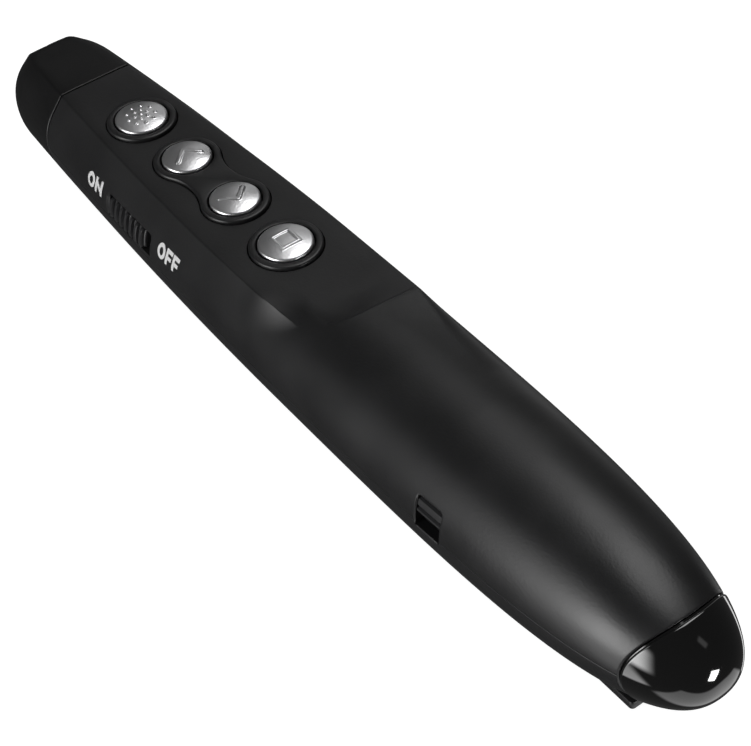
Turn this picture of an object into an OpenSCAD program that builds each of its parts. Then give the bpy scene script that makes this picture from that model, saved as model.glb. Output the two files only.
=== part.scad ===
// Pen-shaped wireless presentation clicker.
// Nose (laser port) towards -X, tail (USB receiver) towards +X, buttons on top (+Z).
// The origin is on the surface it rests on, under the middle of its length. Millimetres.

/* [Body] */
// Greatest width
body_w = 22.7; // [22:0.1:25]
// Greatest height of the oval section
body_h = 18.8; // [18.4:0.1:21]
// Width near the nose face, before its rounding
nose_w = 15.5; // [14.8:0.1:17]
// Height near the nose face, before its rounding
nose_h = 15.4; // [14.8:0.1:16.5]
// Length of the nose cap
nose_len = 14.3; // [13:0.1:15]
// Thickness of the shells
wall = 1.4; // [1.2:0.05:1.7]
// Fall of the split from mid-length to the tail
tail_droop = 1.6; // [1:0.1:2]
// Gap between a loose cover and the shell around it
seam_gap = 0.15; // [0.1:0.01:0.2]

/* [Button panel] */
// How far the flat panel lies below the top of a section of full height at mid-length
panel_sink = 1.15; // [0.8:0.05:1.4]
// From the nose seam to the first button's axis
panel_lead = 12.55; // [12.2:0.05:14]
// From the last button's axis to the panel's end
panel_tail = 17.45; // [16:0.05:18]
// Greatest width of the panel
panel_w = 15.6; // [15:0.1:16.4]
// Width of the panel at the nose seam
panel_nose_w = 10.7; // [10:0.1:11.5]
// Radius of the end's corner on the switch side
panel_end_r = 8.3; // [8:0.1:8.6]
// Width of the flat at the nose face
nose_flat_w = 7.2; // [6.5:0.1:8]

/* [Buttons] */
// Distance between the axes of neighbouring buttons
button_pitch = 11.5; // [11.2:0.05:11.6]
// Diameter of the two end caps
big_cap_d = 7.2; // [6.9:0.05:7.3]
// Diameter of the two middle caps
small_cap_d = 6.7; // [6.4:0.05:6.9]
// How far a cap's rim stands above the panel
cap_rise = 0.8; // [0.7:0.05:1]
// Height of a cap's dome above its rim
cap_dome = 0.45; // [0.3:0.05:0.6]
// Travel of a button
button_travel = 0.4; // [0.3:0.05:0.5]
// Gap round a cap
cap_gap = 0.25; // [0.2:0.01:0.3]
// Width of the raised collar round a cap
collar_w = 0.95; // [0.8:0.05:1]
// Width of the waist between the two middle collars
waist_w = 6; // [5.4:0.1:6.6]
// How far the collars stand above the panel
collar_rise = 0.5; // [0.4:0.05:0.7]
// Thickness of the surround's flange under the panel
flange_t = 0.6; // [0.5:0.05:0.7]

/* [Circuit board] */
// From the last button's axis to the board's rear edge
board_tail = 3.75; // [3.4:0.05:4]
// Width of the main board
board_w = 13.6; // [13:0.1:13.8]
// Thickness of the main board
board_t = 1.2; // [1:0.05:1.4]
// Height of the main board's upper face above the split
board_rise = 1.6; // [1.5:0.05:1.7]
// From the board's front edge to the first button's axis
board_lead = 4.9; // [4.8:0.05:5.3]
// Side of a tact switch housing
tact_w = 4.6; // [4.2:0.1:4.8]
// Height of a tact switch housing
tact_h = 2.1; // [1.9:0.05:2.4]
// Diameter of a tact switch plunger
plunger_d = 2.2; // [1.8:0.1:2.6]

/* [Slide switch] */
// From the first button's axis to the middle of the switch slot
slot_lead = 11.5; // [11.1:0.1:11.9]
// Height of the slot's lower edge above the split
slot_rise = 1.1; // [1:0.05:1.3]
// Height of the slot opening
slot_h = 3.1; // [2.8:0.05:3.2]
// Length of the ribbed knob
knob_len = 9.2; // [8.8:0.1:9.6]
// Travel of the knob from ON to OFF
switch_travel = 1.5; // [1.3:0.1:1.7]
// Number of ribs on the knob
knob_ribs = 7; // [5:1:8]
// Gap round the knob
knob_gap = 0.2; // [0.15:0.01:0.25]

/* [Lanyard eye] */
// From the eye's nose-side edge to the cell's plus end
eye_lead = 16.1; // [14:0.1:17.5]
// Length of the eye opening
eye_len = 4.2; // [3.9:0.1:4.6]
// Height of the eye's lower edge above the split
eye_rise = -1.3; // [-1.6:0.1:-1.1]
// Height of the eye opening
eye_h = 4.5; // [4.3:0.1:4.8]
// Height of the bar across the eye
eye_bar_h = 2.1; // [1.8:0.1:2.3]

/* [Laser] */
// Diameter of the laser barrel
barrel_d = 6; // [5.5:0.1:6.4]
// Length of the laser barrel
barrel_len = 11.4; // [10:0.1:12]
// Diameter of the window in the nose
window_d = 4.4; // [4:0.1:5]

/* [Battery] */
// Diameter of the AAA cell
cell_d = 10.5; // [10:0.1:10.5]
// Length of the AAA cell over its cap
cell_len = 44.5; // [44:0.1:44.6]
// Height of the cell's axis above the split
cell_rise = -0.5; // [-0.7:0.1:-0.3]
// Length of the contact spring, pressed
spring_len = 3; // [2.6:0.1:4]
// Wire diameter of the contact spring
spring_wire = 0.5; // [0.4:0.05:0.6]
// Turns of the contact spring
spring_turns = 3; // [2:1:4]

/* [Battery door] */
// How far the door's opening reaches past the cell's flat end
door_lead = 1.7; // [1.5:0.1:1.9]
// How far it reaches past the cell's plus end
door_tail = 2.8; // [2.4:0.1:3.8]
// Width of the door
door_w = 12.8; // [12.4:0.1:13.2]

/* [Pocket clip] */
// Width of the clip
clip_w = 8.6; // [8.2:0.1:10]
// Thickness of the clip
clip_t = 1.2; // [1:0.05:1.3]
// Room between the clip and the bottom of a section of full height at mid-length
clip_space = 1.3; // [1.2:0.05:1.8]
// From the clip's free end to the dome's seam
clip_short = 1.5; // [0.5:0.1:4]
// From the door's nose-side edge to the clip's pin
pin_inset = 3.2; // [3:0.1:3.6]
// Diameter of the clip's pin
pin_d = 1; // [0.8:0.05:1.1]

/* [Receiver] */
// Length of the dome, seam to tail tip
dome_len = 8; // [7.8:0.1:9]
// Radius of the seam's curve in side view
dome_curve_r = 9.6; // [9.4:0.1:11]
// How far the dome stands out past the shells
dome_proud = 0.2; // [0.1:0.05:0.3]
// Width of the USB plug
plug_w = 12; // [11.9:0.05:12.1]
// Height of the USB plug
plug_h = 4.5; // [4.4:0.05:4.6]
// Length of the plug outside the receiver
plug_len = 13.7; // [13:0.1:13.8]
// Height of the plug's axis above the split
plug_rise = -1.3; // [-1.5:0.1:-1.1]
// Thickness of the plug's sheet metal
plug_t = 0.3; // [0.25:0.01:0.35]
// Gap round the plug in its dock
plug_gap = 0.2; // [0.15:0.01:0.25]
// Thickness of the dock's walls
dock_t = 1; // [0.8:0.05:1.1]

/* [Screws] */
// Shank diameter of the shell screws
screw_d = 1.6; // [1.4:0.05:1.8]
// Head diameter of the shell screws
screw_head_d = 3.2; // [2.8:0.1:3.4]
// Diameter of the screw bosses
boss_d = 4.2; // [4.1:0.1:4.4]

/* [Hidden] */

eps = 0.01;
far = 200;
seat_gap = 0.05;     // between pieces that are fitted together and stay so
slip_gap = 0.1;      // between pieces that slip into one another

// what lies behind the nose cap, one thing after another; the whole length follows
board_gap = 0.2;
boss_gap = 0.3;
plate_t = 0.4;
dock_back_t = 0.9;
dock_tip_gap = 0.6;
base_inset = 0.7;    // how deep the receiver's base lies inside the dome
board_len = board_lead + 3 * button_pitch + board_tail;
bay_start = nose_len + panel_lead - board_lead + board_len + board_gap + boss_d + boss_gap;
cell_start = bay_start + plate_t + spring_len;
plug_start = cell_start + cell_len + plate_t + dock_back_t + dock_tip_gap;
body_len = plug_start + plug_len - base_inset + dome_len;
nose_x = -body_len / 2;
tail_x = body_len / 2 - dome_proud;
nose_seam_x = nose_x + nose_len;
button_x = nose_seam_x + panel_lead;
button_xs = [for (i = [0:3]) button_x + i * button_pitch];
board_x = button_x - board_lead;
spring_plate_x = nose_x + bay_start;
cell_x = nose_x + cell_start;
contact_x = cell_x + cell_len;
dock_x0 = contact_x + plate_t;           // the plus contact leans on the dock's back
plug_x0 = nose_x + plug_start;
base_x = plug_x0 + plug_len;
dome_x = base_x - base_inset;

// body form
stations = 40;       // rings along the body
ring_points = 36;    // points round a ring
oval_power = 2.12;   // superellipse power of the section
wide_x = 4;          // place of the greatest width
tall_x = 30;         // place of the greatest height
split_z = clip_t + clip_space + body_h / 2; // height of the split between the shells at mid-length
nose_round = 6;      // length over which the nose face rounds off
nose_face = 0.68;    // share of the section left at the nose face
nose_dip = 0.6;      // how far the section's middle falls at the nose
nose_dip_len = 30;   // length over which it falls
panel_z = split_z + body_h / 2 - panel_sink;
panel_end_x = button_xs[3] + panel_tail;
panel_end_lean = 0.7; // how much nearer the end's corner lies than its far side
panel_corner = [panel_end_x - panel_end_lean - panel_end_r, panel_end_r - panel_w / 2];
panel_taper = 6.5;   // from the widest place of the panel to its round corner's centre
panel_wide_x = panel_corner[0] - panel_taper;
nose_flat_slope = 0.05;
plate_edge = 0.2;    // blunt edge of the panel
shoulder_r = 0.2;    // rounding of the nose flat's front corners
shoulder_x = 2.2;    // their distance behind the nose face
// buttons, from the top down
board_z = split_z + board_rise;
panel_wall = wall + slip_gap;
ceiling_z = panel_z - panel_wall;
surround_z = ceiling_z - flange_t;       // underside of the surround's flange
cap_stop_gap = 0.1;                      // play of a cap under the surround
cap_press_gap = 0.3;                     // left under a cap at the end of its travel
cap_flange_t = 0.6;
cap_flange_w = 0.45;
cap_flange_z = surround_z - cap_stop_gap - cap_flange_t;
tact_top_z = board_z + tact_h;
plunger_top_z = tact_top_z + button_travel + cap_press_gap;
plunger_gap = 0.08;
plunger_foot = 0.5;                      // length of the plunger inside its housing
surround_flange_w = 0.45;
cap_ds = [big_cap_d, small_cap_d, small_cap_d, big_cap_d];

// screws: one ahead of the board, one between the board and the cell
screw_xs = [board_x - boss_d / 2 - board_gap, board_x + board_len + boss_d / 2 + board_gap];
screw_clear = 0.15;
screw_head_t = 1;
screw_head_z = 6;                        // seat of the screw heads
screw_len = 9;
screw_end_wall = 1.2;                    // left above the screw pilots
pocket_half_w = 6.1;                     // half-width of the pocket over the board
pocket_z = board_z - 0.5;
board_post_d = 1.8;
board_post_y = board_w / 2 - board_post_d;
chip_size = [5, 5, 0.9];
crystal_size = [3.2, 2.5, 0.8];
crystal_y = -4.2;

// slide switch
slot_x = button_x + slot_lead;
slot_z = split_z + slot_rise;
slot_len = knob_len + switch_travel + 2 * knob_gap;
knob_x0 = slot_x - slot_len / 2 + knob_gap;
knob_run_gap = 0.25;                     // between the knob's flange and the wall
knob_flange_lap = 0.6;
knob_in_y = -board_w / 2 - 0.4;          // inner face of the knob's flange
knob_sink = 0.35;                        // how deep the ribs' base lies under the surface
knob_proud = 0.15;                       // how far the ribs stand out
knob_rib_root = 0.5;
slider_w = 1.4;
slider_h = 1.2;
slider_gap = 0.15;
slider_x = knob_x0 + knob_len / 2;
switch_body_len = 7.4;
switch_body_d = 3;
switch_body_h = 2.4;
switch_body_y = -board_w / 2 + 0.1;
slider_reach = 1.6;
slider_z = board_z + 0.6;

// lanyard eye
eye_x = contact_x - eye_lead;
eye_z = split_z + eye_rise;
eye_wall = 0.6;
eye_depth = 2.6;                         // depth of the cup behind the wall
eye_bar_t = 1.2;
eye_bar_sink = 0.5;                      // how deep the bar lies under the surface
eye_slit = 0.5;                          // gap above the bar
eye_in_y = -half_w(eye_x + eye_len / 2) + wall + seat_gap + eye_depth;

// laser
laser_z = mid_z(nose_x);
window_t = 1;
window_sink = 0.2;
window_seat_w = 0.4;                     // width of the ledge behind the window
barrel_x = nose_x + wall + 0.3;
barrel_wall = 0.8;
barrel_back_t = 2;
lens_t = 1.2;
lens_sink = 0.5;
laser_board_len = 2.2;
laser_board_t = 0.8;
nose_block_len = 6;                      // solid front of the nose, which holds the barrel
spigot_t = 1.3;
spigot_root = 2;                         // length of the spigot's root inside the nose cap
spigot_len = 2.6;

// battery bay
cell_z = split_z + cell_rise;
spring_gap = 0.1;
nipple_d = 3.8;
nipple_len = 0.8;
plate_w = 9;
spring_r = 3.6;                          // radius of the spring's first turn
spring_end_r = 2;                        // and of its last one
bay_wall_t = 1;
rib_t = 1.2;
rib_inset = 5.2;                         // from the cell's ends to the outer ribs
rib_xs = [for (i = [0:2]) cell_x + rib_inset + i * (cell_len - 2 * rib_inset) / 2];

// door and clip
door_x = cell_x - door_lead;
door_len = door_lead + cell_len + door_tail;
door_inner_x = door_x + seam_gap;
door_tail_x = door_x + door_len - seam_gap;
hook_len = 1.5;                          // reach of the door's hooks past its nose-side edge
hook_t = 0.8;
hook_w = 3;
hook_y = 3;
hook_root = 1.2;
pad_w = 5;                               // pads of the door under the cell
pad_t = 1.2;
pin_x = door_x + pin_inset;
pin_z = clip_t / 2 + 0.35;
ear_t = 1.1;
ear_root_w = 3.4;
ear_h = 2.5;
ear_root_z = pin_z + ear_h;
knuckle_r = pin_z - 0.05;                // hinge knuckle, just off the resting surface
arm_len = 3;                             // narrow part of the clip between the ears
clip_end_x = dome_x - clip_short;
clip_end_r = 0.5;                        // rounding of its free corners
nub_inset = 4;                           // from the clip's free end to where it bears on the shell
nub_x = clip_end_x - nub_inset;
nub_len = 2;
nub_w = 5;
nub_gap = 0.2;

// receiver
dome_centre_x = dome_x + dome_curve_r;
dome_overlap = 8;                        // how far the shells may reach past the seam's front
base_t = 1.6;
plug_z = split_z + plug_rise;
dock_flange_t = 1.4;
dock_x1 = base_x - 0.4;
dome_wall = 1.2;
tongue_sink = 0.4;
usb_board_w = 9;
usb_board_t = 0.8;
usb_board_lead = 2;                      // from the plug's mouth to the board
usb_board_tail = 2.6;                    // length of the board inside the dome
usb_board_x0 = plug_x0 + usb_board_lead;
usb_board_x1 = base_x + usb_board_tail;

function ramp(x, a, b) = min(max((x - a) / (b - a), 0), 1);
function spow(v, p) = sign(v) * pow(abs(v), p);
function mid_z(x) = split_z - tail_droop * x / (body_len / 2)
    - nose_dip * pow(ramp(x, nose_x + nose_dip_len, nose_x), 1.5);
function split_at(x) = split_z - tail_droop * x / (body_len / 2);

// half-width and half-height of the section at x, for a form drawn in by d
function half_w(x, d = 0) = x < wide_x
    ? body_w / 2 - d - (body_w - nose_w) / 2 * pow(ramp(x, wide_x, nose_x), 2)
    : (body_w / 2 - d) * pow(1 - pow(min(ramp(x, wide_x, tail_x - d), 0.9998), 3.5), 0.39);
function half_h(x, d = 0) = x < tall_x
    ? body_h / 2 - d - (body_h - nose_h) / 2 * ramp(x, tall_x, nose_x)
    : (body_h / 2 - d) * pow(1 - pow(min(ramp(x, tall_x, tail_x - d), 0.9998), 3.4), 0.44);
function nose_share(x, d) = let (t = ramp(x, nose_x + d, nose_x + d + nose_round))
    nose_face + (1 - nose_face) * sqrt(1 - pow(1 - t, 2));
function station(i, d) = nose_x + d + (tail_x - nose_x - 2 * d) * (1 - cos(180 * i / stations)) / 2;
function ring(x, d) = [for (k = [0:ring_points - 1]) let (a = 360 * k / ring_points)
    [x, half_w(x, d) * nose_share(x, d) * spow(cos(a), 2 / oval_power),
     mid_z(x) + half_h(x, d) * nose_share(x, d) * spow(sin(a), 2 / oval_power)]];
function panel_half_w(x) = panel_w / 2 - (panel_w - panel_nose_w) / 2
    * pow(ramp(x, panel_wide_x, nose_seam_x), 1.7);
function nose_flat_z(x) = panel_z - nose_flat_slope * (nose_seam_x - x);

// closed solid through the rings
module loft(d) {
    n = ring_points;
    pts = [for (i = [0:stations]) each ring(station(i, d), d)];
    sides = [for (i = [0:stations - 1]) for (k = [0:n - 1])
        let (a = i * n + k, b = i * n + (k + 1) % n)
        each [[a, b + n, b], [a, a + n, b + n]]];
    ends = [[for (k = [0:n - 1]) k], [for (k = [n - 1:-1:0]) stations * n + k]];
    polyhedron(pts, concat(sides, ends), convexity = 6);
}

// outline of the panel's end: a round corner on the switch side, straight to the other side
module panel_end() {
    intersection() {
        translate(panel_corner) circle(r = panel_end_r, $fn = 96);
        translate([panel_corner[0], -panel_w / 2]) square([far, panel_end_r]);
    }
    polygon([panel_corner, [panel_corner[0] + panel_end_r, panel_corner[1]],
             [panel_end_x, panel_w / 2], [panel_end_x, far], [panel_corner[0], far]]);
}

// thin plates whose edges give the panel and the nose their shoulders
module shoulder_plates() {
    xs = [for (i = [0:8]) nose_seam_x + (panel_corner[0] - nose_seam_x) * i / 8];
    translate([0, 0, panel_z - plate_edge / 2]) linear_extrude(plate_edge) {
        polygon(concat([for (x = xs) [x, -panel_half_w(x)]],
                       [for (i = [8:-1:0]) [xs[i], panel_half_w(xs[i])]]));
        intersection() {
            panel_end();
            square([far, panel_w], center = true);
        }
    }
    for (s = [-1, 1])
        translate([nose_x + shoulder_x, s * nose_flat_w / 2, nose_flat_z(nose_x) - shoulder_r / 2])
            sphere(r = shoulder_r, $fn = 12);
}

// the outside of the whole body, with the flat panel cut into its crown
module body_form() {
    difference() {
        hull() {
            loft(0);
            shoulder_plates();
        }
        translate([0, 0, panel_z]) linear_extrude(far) {
            translate([-far, -far / 2]) square([far + panel_corner[0], far]);
            panel_end();
        }
        rotate([90, 0, 0]) translate([0, 0, -far / 2]) linear_extrude(far)
            polygon([[nose_seam_x, panel_z], [nose_seam_x - far, nose_flat_z(nose_seam_x - far)],
                     [nose_seam_x - far, far], [nose_seam_x, far]]);
    }
}

// a form drawn in by d, cut flat under the panel g below its ceiling
module inner_form(d, g = 0) {
    difference() {
        loft(d);
        translate([-far, -far / 2, ceiling_z - g]) cube([far + panel_end_x, far, far]);
    }
}

// the inside of the shells, with room over the board
module cavity() {
    inner_form(wall);
    translate([board_x - board_gap, -pocket_half_w, pocket_z])
        cube([board_len + 2 * board_gap, 2 * pocket_half_w, ceiling_z - pocket_z]);
}

// half-space above or below the split, grown by g towards the other side
module half(up, g = 0) {
    dir = up ? 1 : -1;
    rotate([90, 0, 0]) translate([0, 0, -far / 2]) linear_extrude(far)
        polygon([[-far, split_at(-far) - dir * g], [far, split_at(far) - dir * g],
                 [far, dir * far], [-far, dir * far]]);
}

// everything behind the curved seam of the dome
module dome_zone(g = 0) {
    translate([dome_centre_x, 0, split_at(dome_x)]) rotate([90, 0, 0])
        cylinder(r = dome_curve_r + g, h = far, center = true, $fn = 96);
}

module x_slab(x0, x1) translate([x0, -far / 2, -far / 2]) cube([x1 - x0, far, far]);

module x_cylinder(x0, x1, z, r, fn = 64)
    translate([x0, 0, z]) rotate([0, 90, 0]) cylinder(r = r, h = x1 - x0, $fn = fn);

module x_box(x0, x1, z, w, h) translate([x0, -w / 2, z - h / 2]) cube([x1 - x0, w, h]);

// the stretch of body between the nose seam and the dome seam
module mid_body(up) {
    difference() {
        intersection() {
            body_form();
            half(up);
            x_slab(nose_seam_x, dome_x + dome_overlap);
        }
        dome_zone(seam_gap);
    }
}

// opening for the switch knob through the near side wall
module slot_opening() {
    translate([slot_x - slot_len / 2, -far, slot_z])
        cube([slot_len, far + knob_in_y, slot_h]);
}

module eye_opening() {
    translate([eye_x, -far, eye_z]) cube([eye_len, far + eye_in_y - eye_wall, eye_h]);
}

// outline of the raised surround, grown by g: two rings and a figure of eight
module surround_outline(g) {
    for (i = [0:3]) translate([button_xs[i], 0])
        circle(d = cap_ds[i] + 2 * (cap_gap + collar_w + g), $fn = 72);
    translate([button_xs[1], -waist_w / 2 - g]) square([button_pitch, waist_w + 2 * g]);
}

// room for the surround in the panel and for its flange below
module surround_room() {
    translate([0, 0, ceiling_z - eps]) linear_extrude(far) surround_outline(seat_gap);
    translate([0, 0, surround_z - seat_gap]) linear_extrude(flange_t + seat_gap)
        surround_outline(surround_flange_w + seat_gap);
}

// room for a cap's flange over its travel
module cap_room(i) {
    z0 = cap_flange_z - button_travel - cap_press_gap;
    translate([button_xs[i], 0, z0])
        cylinder(d = cap_ds[i] + 2 * (cap_flange_w + cap_gap), h = ceiling_z - z0, $fn = 64);
}

// room for the plug from x0 on
module plug_room(x0)
    x_box(x0, far, plug_z, plug_w + 2 * plug_gap, plug_h + 2 * plug_gap);

// bosses for the shell screws and the wall between the board and the cell
module partitions() {
    for (x = screw_xs) translate([x, 0, 0]) cylinder(d = boss_d, h = far, $fn = 48);
    x_slab(spring_plate_x - bay_wall_t, spring_plate_x);
}

// ribs that hold the cell from above
module cell_ribs() {
    difference() {
        for (x = rib_xs) x_slab(x - rib_t / 2, x + rib_t / 2);
        x_cylinder(0, far, cell_z, cell_d / 2 + slip_gap);
        x_box(0, far, cell_z - far / 2, cell_d + 2 * slip_gap, far);
    }
}

module board_posts() {
    for (x = [board_x + board_post_d / 2, board_x + board_len - board_post_d / 2])
        for (s = [-1, 1]) translate([x, s * board_post_y, board_z])
            cylinder(d = board_post_d, h = far, $fn = 32);
}

module upper_shell() {
    color([0.05, 0.05, 0.055])
    difference() {
        mid_body(true);
        difference() {
            cavity();
            partitions();
            cell_ribs();
            board_posts();
        }
        for (x = screw_xs) translate([x, 0, 0])
            cylinder(d = screw_d, h = ceiling_z - screw_end_wall, $fn = 32);
        surround_room();
        for (i = [0:3]) cap_room(i);
        slot_opening();
        eye_opening();
        plug_room(dock_x0);
    }
}

module lower_shell() {
    color([0.05, 0.05, 0.055])
    difference() {
        mid_body(false);
        difference() {
            cavity();
            partitions();
        }
        for (x = screw_xs) translate([x, 0, -1]) {
            cylinder(d = screw_d + 2 * screw_clear, h = far, $fn = 32);
            cylinder(d = screw_head_d + 2 * screw_clear, h = screw_head_z + 1, $fn = 32);
        }
        translate([door_x, -door_w / 2, -1]) cube([door_len, door_w, cell_z]);
        eye_opening();
        plug_room(dock_x0);
    }
}

module nose_cap() {
    color([0.04, 0.04, 0.045])
    difference() {
        union() {
            intersection() {
                body_form();
                x_slab(nose_x - 1, nose_seam_x - seam_gap);
            }
            intersection() {
                inner_form(wall + slip_gap, slip_gap);
                x_slab(nose_seam_x - spigot_root, nose_seam_x + spigot_len);
            }
        }
        intersection() {
            inner_form(wall);
            x_slab(nose_x + nose_block_len, nose_seam_x - spigot_root);
        }
        intersection() {
            inner_form(wall + slip_gap + spigot_t, slip_gap + spigot_t);
            x_slab(nose_x + nose_block_len, far);
        }
        x_cylinder(nose_x - 1, nose_x + window_sink + window_t, laser_z, window_d / 2 + seat_gap);
        x_cylinder(nose_x - 1, barrel_x + 1, laser_z, window_d / 2 - window_seat_w);
        x_cylinder(barrel_x, far, laser_z, barrel_d / 2 + seat_gap);
    }
}

module laser_window() {
    color([0.6, 0.1, 0.1])
    x_cylinder(nose_x + window_sink, nose_x + window_sink + window_t, laser_z, window_d / 2);
}

module laser_barrel() {
    color([0.75, 0.6, 0.3])
    difference() {
        x_cylinder(barrel_x, barrel_x + barrel_len, laser_z, barrel_d / 2);
        x_cylinder(barrel_x - 1, barrel_x + barrel_len - barrel_back_t, laser_z,
                   barrel_d / 2 - barrel_wall);
    }
}

module laser_lens() {
    color([0.7, 0.8, 0.9])
    x_cylinder(barrel_x + lens_sink, barrel_x + lens_sink + lens_t, laser_z,
               barrel_d / 2 - barrel_wall);
}

module laser_board() {
    x0 = barrel_x + barrel_len;
    color([0.1, 0.35, 0.15])
    x_box(x0, x0 + laser_board_len, laser_z, barrel_d, laser_board_t);
}

module button_surround() {
    color([0.06, 0.06, 0.065])
    difference() {
        union() {
            translate([0, 0, ceiling_z - eps]) linear_extrude(panel_wall + collar_rise + eps)
                surround_outline(0);
            translate([0, 0, surround_z]) linear_extrude(flange_t)
                surround_outline(surround_flange_w);
        }
        for (i = [0:3]) translate([button_xs[i], 0, 0])
            cylinder(d = cap_ds[i] + 2 * cap_gap, h = far, $fn = 64);
    }
}

// one cap: domed head, retaining flange and a stem down to the switch
module cap(i) {
    d = cap_ds[i];
    rim_z = panel_z + cap_rise;
    dome_r = (d * d / 4 + cap_dome * cap_dome) / (2 * cap_dome);
    color([0.72, 0.72, 0.73])
    translate([button_xs[i], 0, 0]) {
        translate([0, 0, cap_flange_z]) cylinder(d = d, h = rim_z - cap_flange_z, $fn = 64);
        intersection() {
            translate([0, 0, rim_z + cap_dome - dome_r]) sphere(r = dome_r, $fn = 128);
            translate([0, 0, rim_z - eps]) cylinder(d = d, h = 2 * cap_dome, $fn = 64);
        }
        translate([0, 0, cap_flange_z])
            cylinder(d = d + 2 * cap_flange_w, h = cap_flange_t, $fn = 64);
        translate([0, 0, plunger_top_z])
            cylinder(d = plunger_d, h = cap_flange_z - plunger_top_z + eps, $fn = 32);
    }
}

module laser_button() cap(0);
module forward_button() cap(1);
module back_button() cap(2);
module screen_button() cap(3);

module plunger(i) {
    color([0.15, 0.15, 0.16])
    translate([button_xs[i], 0, tact_top_z - plunger_foot])
        cylinder(d = plunger_d, h = plunger_top_z - tact_top_z + plunger_foot, $fn = 32);
}

module laser_plunger() plunger(0);
module forward_plunger() plunger(1);
module back_plunger() plunger(2);
module screen_plunger() plunger(3);

module tact_switches() {
    color([0.2, 0.2, 0.21])
    for (x = button_xs) translate([x, 0, board_z]) difference() {
        translate([-tact_w / 2, -tact_w / 2, 0]) cube([tact_w, tact_w, tact_h]);
        translate([0, 0, tact_h - plunger_foot - button_travel - cap_press_gap])
            cylinder(d = plunger_d + 2 * plunger_gap, h = far, $fn = 32);
    }
}

module main_board() {
    color([0.08, 0.3, 0.15])
    translate([board_x, -board_w / 2, board_z - board_t]) cube([board_len, board_w, board_t]);
}

// a component under the main board
module chip(x, y, size)
    translate([x - size[0] / 2, y - size[1] / 2, board_z - board_t - size[2]]) cube(size);

module radio_chip() {
    color([0.12, 0.12, 0.12])
    chip(button_xs[2], 0, chip_size);
}

module crystal() {
    color([0.75, 0.75, 0.77])
    chip(button_xs[3], crystal_y, crystal_size);
}

module power_switch() {
    color([0.7, 0.7, 0.72])
    difference() {
        translate([slider_x + switch_travel / 2 - switch_body_len / 2, switch_body_y, board_z])
            cube([switch_body_len, switch_body_d, switch_body_h]);
        translate([slider_x - slider_w / 2 - slider_gap, switch_body_y - 1, slider_z - slider_gap])
            cube([slider_w + switch_travel + 2 * slider_gap, slider_reach + 1 + slider_gap,
                  slider_h + 2 * slider_gap]);
    }
}

module switch_slider() {
    color([0.1, 0.1, 0.1])
    translate([slider_x - slider_w / 2, knob_in_y, slider_z])
        cube([slider_w, switch_body_y + slider_reach - knob_in_y, slider_h]);
}

// the knob's outer face and the flange behind it follow the side wall
module switch_knob() {
    z0 = slot_z + knob_gap;
    h = slot_h - 2 * knob_gap;
    pitch = knob_len / knob_ribs;
    rib_y = -half_w(slot_x) + knob_sink + knob_rib_root;
    color([0.06, 0.06, 0.065]) {
        intersection() {
            loft(-knob_proud);
            for (i = [0:knob_ribs - 1])
                translate([knob_x0 + (i + 0.25) * pitch, -far, z0]) cube([pitch / 2, far + rib_y, h]);
        }
        intersection() {
            loft(knob_sink);
            translate([knob_x0, -far, z0]) cube([knob_len, far + knob_in_y, h]);
        }
        intersection() {
            loft(wall + knob_run_gap);
            translate([knob_x0 - knob_flange_lap, -far, z0 - knob_flange_lap])
                cube([knob_len + 2 * knob_flange_lap, far + knob_in_y, h + 2 * knob_flange_lap]);
        }
    }
}

// cup behind the side wall with a bar across its mouth
module lanyard_eye() {
    bar_y = -half_w(eye_x + eye_len / 2) + eye_bar_sink + eye_bar_t;
    bar_z = eye_z + eye_h - eye_slit - eye_bar_h;
    color([0.05, 0.05, 0.055]) {
        difference() {
            intersection() {
                loft(wall + seat_gap);
                translate([eye_x - eye_wall, -far, eye_z - eye_wall])
                    cube([eye_len + 2 * eye_wall, far + eye_in_y, eye_h + 2 * eye_wall]);
            }
            eye_opening();
        }
        intersection() {
            loft(eye_bar_sink);
            translate([eye_x + seat_gap, -far, bar_z])
                cube([eye_len - 2 * seat_gap, far + bar_y + wall, eye_bar_h]);
        }
        intersection() {
            loft(wall + seat_gap);
            translate([eye_x - eye_wall / 2, -far, bar_z])
                cube([eye_len + eye_wall, far + bar_y + wall, eye_bar_h]);
        }
    }
}

module battery() {
    color([0.25, 0.3, 0.35]) {
        x_cylinder(cell_x, cell_x + cell_len - nipple_len, cell_z, cell_d / 2);
        x_cylinder(cell_x + cell_len - nipple_len - eps, cell_x + cell_len, cell_z, nipple_d / 2, 32);
    }
}

// round wire swept along a helix
module battery_spring() {
    sides = 8;
    steps = 14;
    count = spring_turns * steps;
    r = spring_wire / 2;
    x0 = cell_x - spring_len + r;
    rise = (spring_len - spring_wire - spring_gap) / count;
    function coil_r(i) = spring_r - (spring_r - spring_end_r) * i / count;
    pts = [for (i = [0:count]) for (k = [0:sides - 1])
        let (a = 360 * i / steps, b = 360 * k / sides, q = coil_r(i) + r * cos(b))
        [x0 + rise * i + r * sin(b), q * cos(a), cell_z + q * sin(a)]];
    faces = concat(
        [for (i = [0:count - 1]) for (k = [0:sides - 1])
            let (a = i * sides + k, b = i * sides + (k + 1) % sides)
            each [[a, b, b + sides], [a, b + sides, a + sides]]],
        [[for (k = [sides - 1:-1:0]) k], [for (k = [0:sides - 1]) count * sides + k]]);
    color([0.8, 0.8, 0.82]) polyhedron(pts, faces, convexity = 10);
}

module contact(x) {
    color([0.8, 0.8, 0.82])
    x_box(x, x + plate_t, cell_z, plate_w, plate_w);
}

module spring_plate() contact(spring_plate_x);
module contact_plate() contact(contact_x);

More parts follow.
